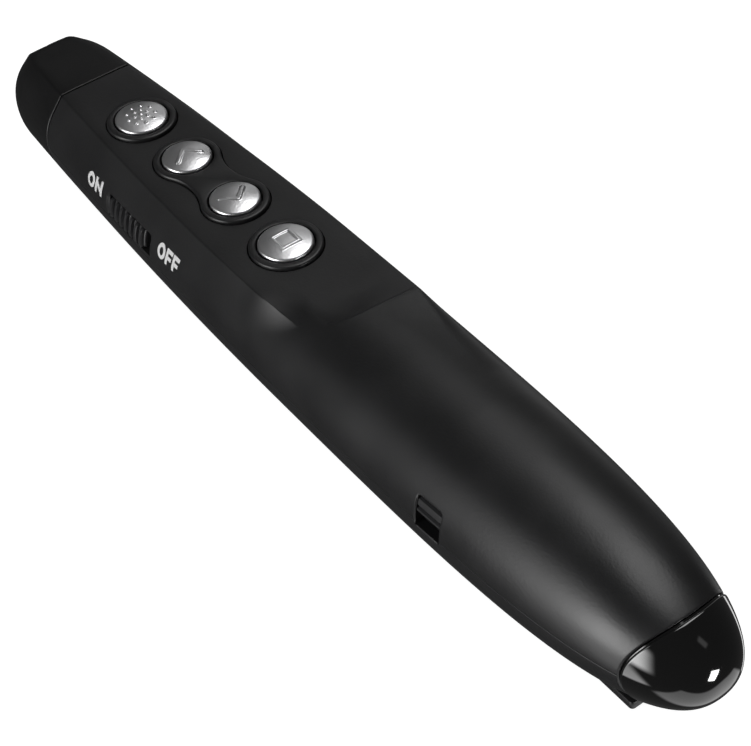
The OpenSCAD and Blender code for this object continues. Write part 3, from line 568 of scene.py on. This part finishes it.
pads = []
edge, lip = 0.32, 0.16
for i, j, r in ((0, 0, 4.8), (1, 2, 4.55), (3, 3, 4.8)):
    cut(upper, pad_solid(i, j, r, [(0.06, 18.0), (0.06, 19.95), (0.30, 20.35)]))
    top = [(-edge * (1 - math.cos(a)), COLLAR - edge * (1 - math.sin(a))) for a in quarter(6)]
    pad = pad_solid(i, j, r, [(0, 18.05)] + top)
    for k in range(i, j + 1):
        hole = CAP_D[k] / 2 + 0.25
        rim = [(hole + lip * (1 - math.cos(a)), COLLAR - lip + lip * math.sin(a)) for a in quarter(5)]
        profile = [(hole, 10)] + rim + [(hole + 0.3, COLLAR + 0.15)]
        cut(pad, lathe("cut", profile, (BUTTONS[k], 0, 0)))
    pads.append(pad)
done(join("collars", pads), M["surround"], "body", ["button_surround"])
done(upper, M["shell"], "body", ["upper_shell"])
done(lower, M["lower"], "body", ["lower_shell"])

# ---------------------------------------------------------------- nose
nose = link("nose_moulding", form.data.copy())
cut(nose, block(-FAR, SEAM - GAP, -WIDE, WIDE, -WIDE, WIDE), "INTERSECT")
tube = loft_object("spigot", spread((-66, SEAM + 2.6, 0.6)), 1.5)
cut(tube, block(-58, SEAM + 2.6, -WIDE, WIDE, -WIDE, 18.55), "INTERSECT")
cut(nose, tube, "UNION")
room = loft_object("room", spread((-64.3, -50, 0.6)), 2.8)
cut(room, block(-64.3, -50, -WIDE, WIDE, -WIDE, 17.25), "INTERSECT")
cut(nose, room)
cut(nose, bore_along([(1.85, -75), (1.85, -66)]))
flare = [(2.25 + 0.3 * (1 - math.sin(a)), NOSE + 0.3 * (1 - math.cos(a))) for a in quarter(5)]
cut(nose, bore_along([(2.7, -75), (2.6, NOSE - 0.01)] + flare + [(2.25, -69.1)]))
cut(nose, bore_along([(3.05, -68.6), (3.05, -40)]))
done(nose, M["nose"], "body", ["nose_cap"])

# ---------------------------------------------------------------- dome of the receiver
runs = (0, 0.10, 0.004), (0.10, 0.9, 0.016), (0.9, 0.99, 0.006), (0.99, 1, 0.001)
along = np.array([-0.12, -0.06] + spread(*runs)).reshape(-1, 1)


def dome_half(side):
    """Rows from just before the curved seam to the tail, on angles that the body's skin has."""
    th = angle_table(np.array([[66.0]])) + 0 * along
    seam = np.full_like(th, 63.0)
    for _ in range(12):
        z = mid_z(seam) + oval(seam, th, -PROUD) * np.sin(th)
        seam = DOME_C - np.sqrt(DOME_R ** 2 - np.minimum(np.abs(z - DOME_Z), DOME_R - 1) ** 2)
    x = seam + (TAIL + PROUD - seam) * along
    r = oval(x, th, -PROUD) - edge_drop(np.maximum(x - seam, 0), 0.45)
    return np.stack([x, side * r * np.cos(th), mid_z(x) + r * np.sin(th)], axis=-1)


dome = two_sides("dome", dome_half)
cut(dome, dome_cutter(DOME_R), "INTERSECT")
cut(dome, loft_object("room", spread((55, 68.8, 0.5)), 1.2))
cut(dome, block(40, 63.05, -6.05, 6.05, 8.3, 12.9))
done(dome, M["gloss"], "receiver", ["receiver_cap"])


# ---------------------------------------------------------------- button caps
def line_distance(px, py, ax, ay, bx, by):
    dx, dy = bx - ax, by - ay
    t = np.clip(((px - ax) * dx + (py - ay) * dy) / (dx * dx + dy * dy), 0, 1)
    return np.hypot(px - ax - t * dx, py - ay - t * dy)


def symbol(k, u, v):
    """Distance to cap k's symbol. u runs across the body towards +Y, v towards the tail."""
    if k == 0:                              # a burst of dots
        d = np.hypot(u, v)
        for ring, count in ((1.0, 6), (2.0, 9)):
            for i in range(count):
                a = 2 * math.pi * (i + 0.5 * (ring > 1)) / count
                d = np.minimum(d, np.hypot(u - ring * math.cos(a), v - ring * math.sin(a)))
        return d + 0.03
    if k < 3:                               # a chevron, towards the nose and then towards the tail
        s = -1 if k == 1 else 1
        arms = [line_distance(u, v, 0, 0.95 * s, end, -0.75 * s) for end in (-1.8, 1.8)]
        return np.minimum(*arms) - 0.08
    return np.abs(np.maximum(np.abs(u), np.abs(v)) - 1.3)   # a square


def cap_object(k, name):
    """A domed cap with a raised symbol, a rounded edge, a flange under the panel and a stem."""
    rad, edge, dip, raised, symbol_r = CAP_D[k] / 2, 0.35, 0.1, 0.16, 2.45
    flange, flange_z, stem, stem_z = 0.45, (17.35, 17.95), 1.1, 16.3
    dome_r, top = (rad * rad + DOME_UP * DOME_UP) / (2 * DOME_UP), RIM + DOME_UP - dip
    t = np.linspace(0, 2 * math.pi, 168, endpoint=False)
    rows = []

    def ring(r, z):
        rows.append(np.stack([BUTTONS[k] + r * np.cos(t), r * np.sin(t), z + 0 * t], axis=-1))

    for r in np.concatenate([np.linspace(0.02, 2.4, 44), np.linspace(2.46, rad - edge, 14)]):
        z = top - (dome_r - np.sqrt(dome_r ** 2 - r * r))
        line = np.clip((0.30 - symbol(k, r * np.sin(t), r * np.cos(t))) / 0.2, 0, 1)
        ring(r, np.minimum(z + raised * line * (r < symbol_r), RIM + DOME_UP))
    z_edge = top - (dome_r - math.sqrt(dome_r ** 2 - (rad - edge) ** 2))
    tilt = math.asin((rad - edge) / dome_r)
    for a in np.linspace(tilt, math.pi / 2, 7)[1:]:
        ring(rad - edge + edge * (math.sin(a) - math.sin(tilt)) / (1 - math.sin(tilt)),
             z_edge - edge * (math.cos(tilt) - math.cos(a)))
    for r, z in ((rad, flange_z[1]), (rad + flange, flange_z[1]), (rad + flange, flange_z[0]),
                 (stem, flange_z[0]), (stem, stem_z)):
        ring(r, z)
    return grid_object(name, np.array(rows))


for k, key in enumerate(("laser", "forward", "back", "screen")):
    done(cap_object(k, key + "_cap"), M["silver"], key + "_key", [key + "_button"])


# ---------------------------------------------------------------- side wall pieces
def wall_y(x, z):
    """y of the switch side's outside at (x, z), as arrays of one shape."""
    out = np.empty_like(x)
    th = np.linspace(-1.2, 0.85, 240).reshape(1, -1)
    for xv in np.unique(x):
        r = form_radius(np.array([[xv]]), th, -1)[0]
        m = x == xv
        out[m] = -np.interp(z[m], mid_z(xv) + r * np.sin(th[0]), r * np.cos(th[0]))
    return out


def wall_block(name, xv, zv, out_by, back_y):
    """A block whose front follows the wall, standing out by out_by(x, z)."""
    X, Z = np.meshgrid(np.array(xv), np.array(zv), indexing="ij")
    Y = wall_y(X, Z) - out_by(X, Z)
    n, m = X.shape
    front = np.stack([X, Y, Z], axis=-1)
    back = np.stack([X, np.full_like(X, back_y), Z], axis=-1)
    verts = np.concatenate([front.reshape(-1, 3), back.reshape(-1, 3)])
    faces = []
    for i in range(n - 1):
        for j in range(m - 1):
            a = i * m + j
            b = a + n * m
            faces += [(a, a + m, a + m + 1, a + 1), (b, b + 1, b + m + 1, b + m)]
    edge = [(i, 0) for i in range(n)] + [(n - 1, j) for j in range(1, m)] + \
           [(i, m - 1) for i in range(n - 2, -1, -1)] + [(0, j) for j in range(m - 2, 0, -1)]
    for (i0, j0), (i1, j1) in zip(edge, edge[1:] + edge[:1]):
        a, b = i0 * m + j0, i1 * m + j1
        faces.append((b, a, a + n * m, b + n * m))
    return closed_object(name, verts.tolist(), faces)


def knob_out(x, z):
    """Seven ribs across the knob, which lies below the wall between them."""
    pitch = (KNOB[1] - KNOB[0]) / 7
    phase = ((x - KNOB[0]) / pitch) % 1
    rib = smooth(np.clip((0.32 - np.abs(phase - 0.5)) / 0.12, 0, 1))
    return -0.35 + 0.5 * rib - edge_drop(-rect_distance(x, z, KNOB, 0.3), 0.3)


def eye_out(x, z):
    """The bar across the eye: a broad ridge with a narrow one below it."""
    bar = np.clip((0.60 - np.abs(z - 14.0)) / 0.2, 0, 1) + np.clip((0.36 - np.abs(z - 12.9)) / 0.2, 0, 1)
    return -0.70 + 0.4 * np.clip(bar, 0, 1)


knob = wall_block("switch_thumb", spread((*KNOB[:2], 0.06)), spread((*KNOB[2:], 0.1)), knob_out, -8.0)
done(knob, M["knob"], "power_slider", ["switch_knob"])

bar_xs, bar_zs = spread((EYE[0] - 0.3, EYE[1] + 0.3, 0.2)), spread((12.5, 14.6, 0.05))
bar = wall_block("bar", bar_xs, bar_zs, eye_out, -9.0)
cup = block(EYE[0] - 0.6, EYE[1] + 0.6, -9.9, -7.05, EYE[2] - 0.6, EYE[3] + 0.6, "cup")
cut(cup, block(EYE[0] + 0.02, EYE[1] - 0.02, -20, -7.7, EYE[2] + 0.02, EYE[3] - 0.02))
cut(cup, loft_object("room", spread((20, 50, 0.6)), WALL + 0.05), "INTERSECT")
done(join("cord_eye", [cup, bar]), M["knob"], "body", ["lanyard_eye"])


# ---------------------------------------------------------------- lettering
def letter_strokes(ch, w, h, k):
    """Centre lines of a capital's strokes, of width k, in a box w wide and h high."""
    a, b, d = k / 2, w - k / 2, h - k / 2
    if ch == "O":
        return [[(w / 2 + (b - a) / 2 * math.cos(t), h / 2 + (d - a) / 2 * math.sin(t))
                 for t in np.linspace(0, 2 * math.pi, 33)]]
    if ch == "N":
        return [[(a, 0), (a, h)], [(a, h - k), (b, k)], [(b, 0), (b, h)]]
    return [[(a, 0), (a, h)], [(a, d), (w, d)], [(a, h * 0.48), (w * 0.9, h * 0.48)]]


def lettering(name, word, x0, z0, slope, width, stroke, height=2.05, gap=0.2):
    """Thin raised strokes on the switch side's wall, reading along +X."""
    verts, faces = [], []
    px = x0
    for ch in word:
        w = width * (0.8 if ch == "F" else 1.0)
        for line in letter_strokes(ch, w, height, stroke):
            pts = np.array([(px + u, z0 + slope * (px + u - x0) + v) for u, v in line])
            fine = [pts[0]]
            for a, b in zip(pts[:-1], pts[1:]):
                n = max(1, int(np.hypot(*(b - a)) / 0.15))
                fine += [a + (b - a) * t / n for t in range(1, n + 1)]
            fine = np.array(fine)
            tan = np.gradient(fine, axis=0)
            tan /= np.hypot(tan[:, 0], tan[:, 1])[:, None]
            nor = np.stack([-tan[:, 1], tan[:, 0]], axis=-1)
            base = len(verts)
            for off, out in ((-1, -0.1), (-1, 0.02), (1, 0.02), (1, -0.1)):
                q = fine + nor * off * stroke / 2
                y = wall_y(q[:, 0].copy(), q[:, 1].copy()) - out
                verts += list(zip(q[:, 0], y, q[:, 1]))
            m = len(fine)
            for s in range(4):
                for i in range(m - 1):
                    a, b = base + s * m + i, base + (s + 1) % 4 * m + i
                    faces.append((a, a + 1, b + 1, b))
            faces.append(tuple(base + s * m for s in range(4)))
            faces.append(tuple(base + s * m + m - 1 for s in (3, 2, 1, 0)))
        px += w + gap
    return closed_object(name, verts, faces)


done(lettering("on_mark", "ON", -43.5, 14.6, 0.0, 1.9, 0.5), M["print"], "body")
done(lettering("off_mark", "OFF", -24.4, 14.6, -0.02, 1.8, 0.48), M["print"], "body")

# ---------------------------------------------------------------- door and clip
door = link("bay_cover", form.data.copy())
half = DOOR_HALF_W - GAP
cut(door, block(DOOR_X0 + GAP, DOOR_X1 - GAP, -half, half, LOW, DOOR_TOP), "INTERSECT")
cut(door, loft_object("room", inner_xs, WALL))
bpy.data.objects.remove(form)
parts = [door]
for x in (8.1, 42.2):
    rest = block(x - 0.6, x + 0.6, -2.5, 2.5, 1.9, 6.05)
    parts.append(cut(rest, loft_object("room", inner_xs, WALL - 0.1), "INTERSECT"))
for s in (-1, 1):
    hook_y, ear_y = s * 3, s * 3.75
    parts.append(block(-0.3, 2.55, hook_y - 1.5, hook_y + 1.5, 4.05, 4.85))
    boss = [(PIN_BOSS_R, -0.55), (PIN_BOSS_R, 0.55)]
    parts.append(lathe("ear", boss, (PIN_X, ear_y, PIN_Z), axis="Y", steps=48))
    parts.append(block(2.9, 6.0, ear_y - 0.54, ear_y + 0.54, 1.3, 3.45))
done(join("bay_cover", parts), M["lower"], "door", ["battery_door"])


def strip(name, levels, x0=7.3, x1=60.8, half_width=4.3, steps=12):
    """The clip's flat strip with rounded corners. levels are (growth, height) from the bottom up."""
    rows = []
    for g, z in levels:
        pts = []
        for turn, (sx, sy, r) in enumerate(((1, 1, 0.5), (-1, 1, 0.8), (-1, -1, 0.8), (1, -1, 0.5))):
            cx = (x1 + g if sx > 0 else x0 - g) - sx * r
            cy = sy * (half_width + g - r)
            for t in np.linspace(turn * math.pi / 2, (turn + 1) * math.pi / 2, steps):
                pts.append((cx + r * math.cos(t), cy + r * math.sin(t), z))
        rows.append(pts)
    return grid_object(name, np.array(rows))


levels = [(-0.15, 0.0), (-0.04, 0.04), (0, 0.15), (0, 1.0), (-0.05, 1.14), (-0.2, 1.2)]
knuckle = [(PIN_BOSS_R, -3.1), (PIN_BOSS_R, 3.1)]
clip = [strip("strip", levels), block(PIN_X, 7.5, -3.1, 3.1, 0.0, 1.2),
        lathe("knuckle", knuckle, (PIN_X, 0, PIN_Z), axis="Y", steps=48),
        lathe("nub", [(0.9, 1.1), (0.9, 2.0), (0.6, 2.3)], (56.8, 0, 0), steps=48)]
done(join("spring_clip", clip), M["shell"], "clip", ["pocket_clip"])

# ---------------------------------------------------------------- materials of the CAD nodes
looks = {
    "window": ["laser_window"], "brass": ["laser_barrel"], "lens": ["laser_lens"],
    "board": ["laser_board", "main_board", "receiver_board"],
    "component": ["laser_plunger", "forward_plunger", "back_plunger", "screen_plunger",
                  "tact_switches", "radio_chip", "switch_slider", "receiver_dock"],
    "steel": ["crystal", "power_switch", "clip_pin", "shell_screws"],
    "cell": ["battery"], "shell": ["receiver_base"], "tongue": ["receiver_tongue"],
    "nickel": ["battery_spring", "spring_plate", "contact_plate", "receiver_plug"],
}
for key, nodes in looks.items():
    for node in nodes:
        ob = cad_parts[node]
        if not ob.material_slots:
            ob.data.materials.append(M[key])
        for s in ob.material_slots:
            s.material = M[key]

# ---------------------------------------------------------------- floor and camera, in metres
bm = bmesh.new()
bmesh.ops.create_grid(bm, x_segments=2, y_segments=2, size=3.0)
me = bpy.data.meshes.new("floor")
bm.to_mesh(me)
bm.free()
floor = link("floor", me)
floor.location.z = -0.0002
white = bpy.data.materials.new("floor_white")
white.use_nodes = True
shader = white.node_tree.nodes["Principled BSDF"]
shader.inputs["Base Color"].default_value = (0.35, 0.35, 0.35, 1)
shader.inputs["Roughness"].default_value = 1.0
shader.inputs["Specular IOR Level"].default_value = 0.0
shader.inputs["Emission Color"].default_value = (1, 1, 1, 1)
shader.inputs["Emission Strength"].default_value = 0.93
me.materials.append(white)
floor.visible_glossy = floor.visible_diffuse = floor.visible_shadow = False

RIGHT = Vector((0.59402668, 0.80095661, -0.07483851))
UP = Vector((-0.52945613, 0.45931173, 0.71323835))
FORWARD = Vector((-0.60564718, 0.3840589, -0.69691481))
EYE_POINT = Vector((0.158387, -0.094904, 0.183103))
cam = bpy.data.cameras.new("camera")
cam.lens, cam.sensor_width, cam.sensor_fit = 96.2, 36.0, "HORIZONTAL"
cam.clip_start, cam.clip_end = 0.01, 20
cam_ob = link("camera", cam)
rot = Matrix((RIGHT, UP, -FORWARD)).transposed().to_4x4()
cam_ob.matrix_world = Matrix.Translation(EYE_POINT) @ rot
bpy.context.scene.camera = cam_ob

# ---------------------------------------------------------------- studio light
world = bpy.data.worlds.new("studio")
world.use_nodes = True
wt = world.node_tree
ray = wt.nodes.new("ShaderNodeTexCoord").outputs["Generated"]


def direction(az, el):
    a, e = math.radians(az), math.radians(el)
    return Vector((math.cos(a) * math.cos(e), math.sin(a) * math.cos(e), math.sin(e)))


def maths(op, a, b=None):
    n = wt.nodes.new("ShaderNodeMath")
    n.operation = op
    for k, v in enumerate((a, b)):
        if isinstance(v, (int, float)):
            n.inputs[k].default_value = v
        elif v is not None:
            wt.links.new(v, n.inputs[k])
    return n.outputs[0]


def softbox(first, last, half_width, radiance, soft):
    """A soft strip of light from one (azimuth, elevation) to another, seen from the body's middle."""
    p, q = direction(*first), direction(*last)
    mid, along = (p + q) / 2, q - p
    dist, half = mid.length, along.length / 2
    Z = mid.normalized()
    X = (along - along.dot(Z) * Z).normalized()
    dots = []
    for axis in (X, Z.cross(X), Z):
        n = wt.nodes.new("ShaderNodeVectorMath")
        n.operation = "DOT_PRODUCT"
        wt.links.new(ray, n.inputs[0])
        n.inputs[1].default_value = axis
        dots.append(n.outputs["Value"])
    ahead = maths("MAXIMUM", dots[2], 0.05)
    value = maths("MULTIPLY", maths("GREATER_THAN", dots[2], 0.05), radiance)
    for d, reach in ((dots[0], half), (dots[1], half_width)):
        m = wt.nodes.new("ShaderNodeMapRange")
        m.interpolation_type = "SMOOTHSTEP"
        m.inputs["From Min"].default_value = (reach + soft) / dist
        m.inputs["From Max"].default_value = (reach - soft) / dist
        wt.links.new(maths("ABSOLUTE", maths("DIVIDE", d, ahead)), m.inputs["Value"])
        value = maths("MULTIPLY", value, m.outputs["Result"])
    return value


AMBIENT = 0.05
SOFTBOXES = [                               # first end, last end, half width, radiance, soft edge
    ((35, 79), (122, 47), 0.20, 3.6, 0.05),
    ((-112, 45), (-90, -42), 0.15, 2.1, 0.05),
    ((-88, -10), (-86, 28), 0.22, 6.5, 0.12),
    ((151, 37), (118, -22), 0.11, 0.35, 0.05),
    ((6, 0), (18, -8), 0.16, 25, 0.014),
    ((24, 46), (34, 46), 0.10, 0.4, 0.03),
    ((96, -52), (106, -20), 0.045, 1.6, 0.02),
    ((-60, -38), (60, -38), 0.30, 0.8, 0.05)]
total = AMBIENT
for box in SOFTBOXES:
    total = maths("ADD", softbox(*box), total)
background = wt.nodes["Background"]
wt.links.new(total, background.inputs["Strength"])
background.inputs["Color"].default_value = (1, 1, 1, 1)
bpy.context.scene.world = world
bpy.context.scene.view_settings.view_transform = "Standard"
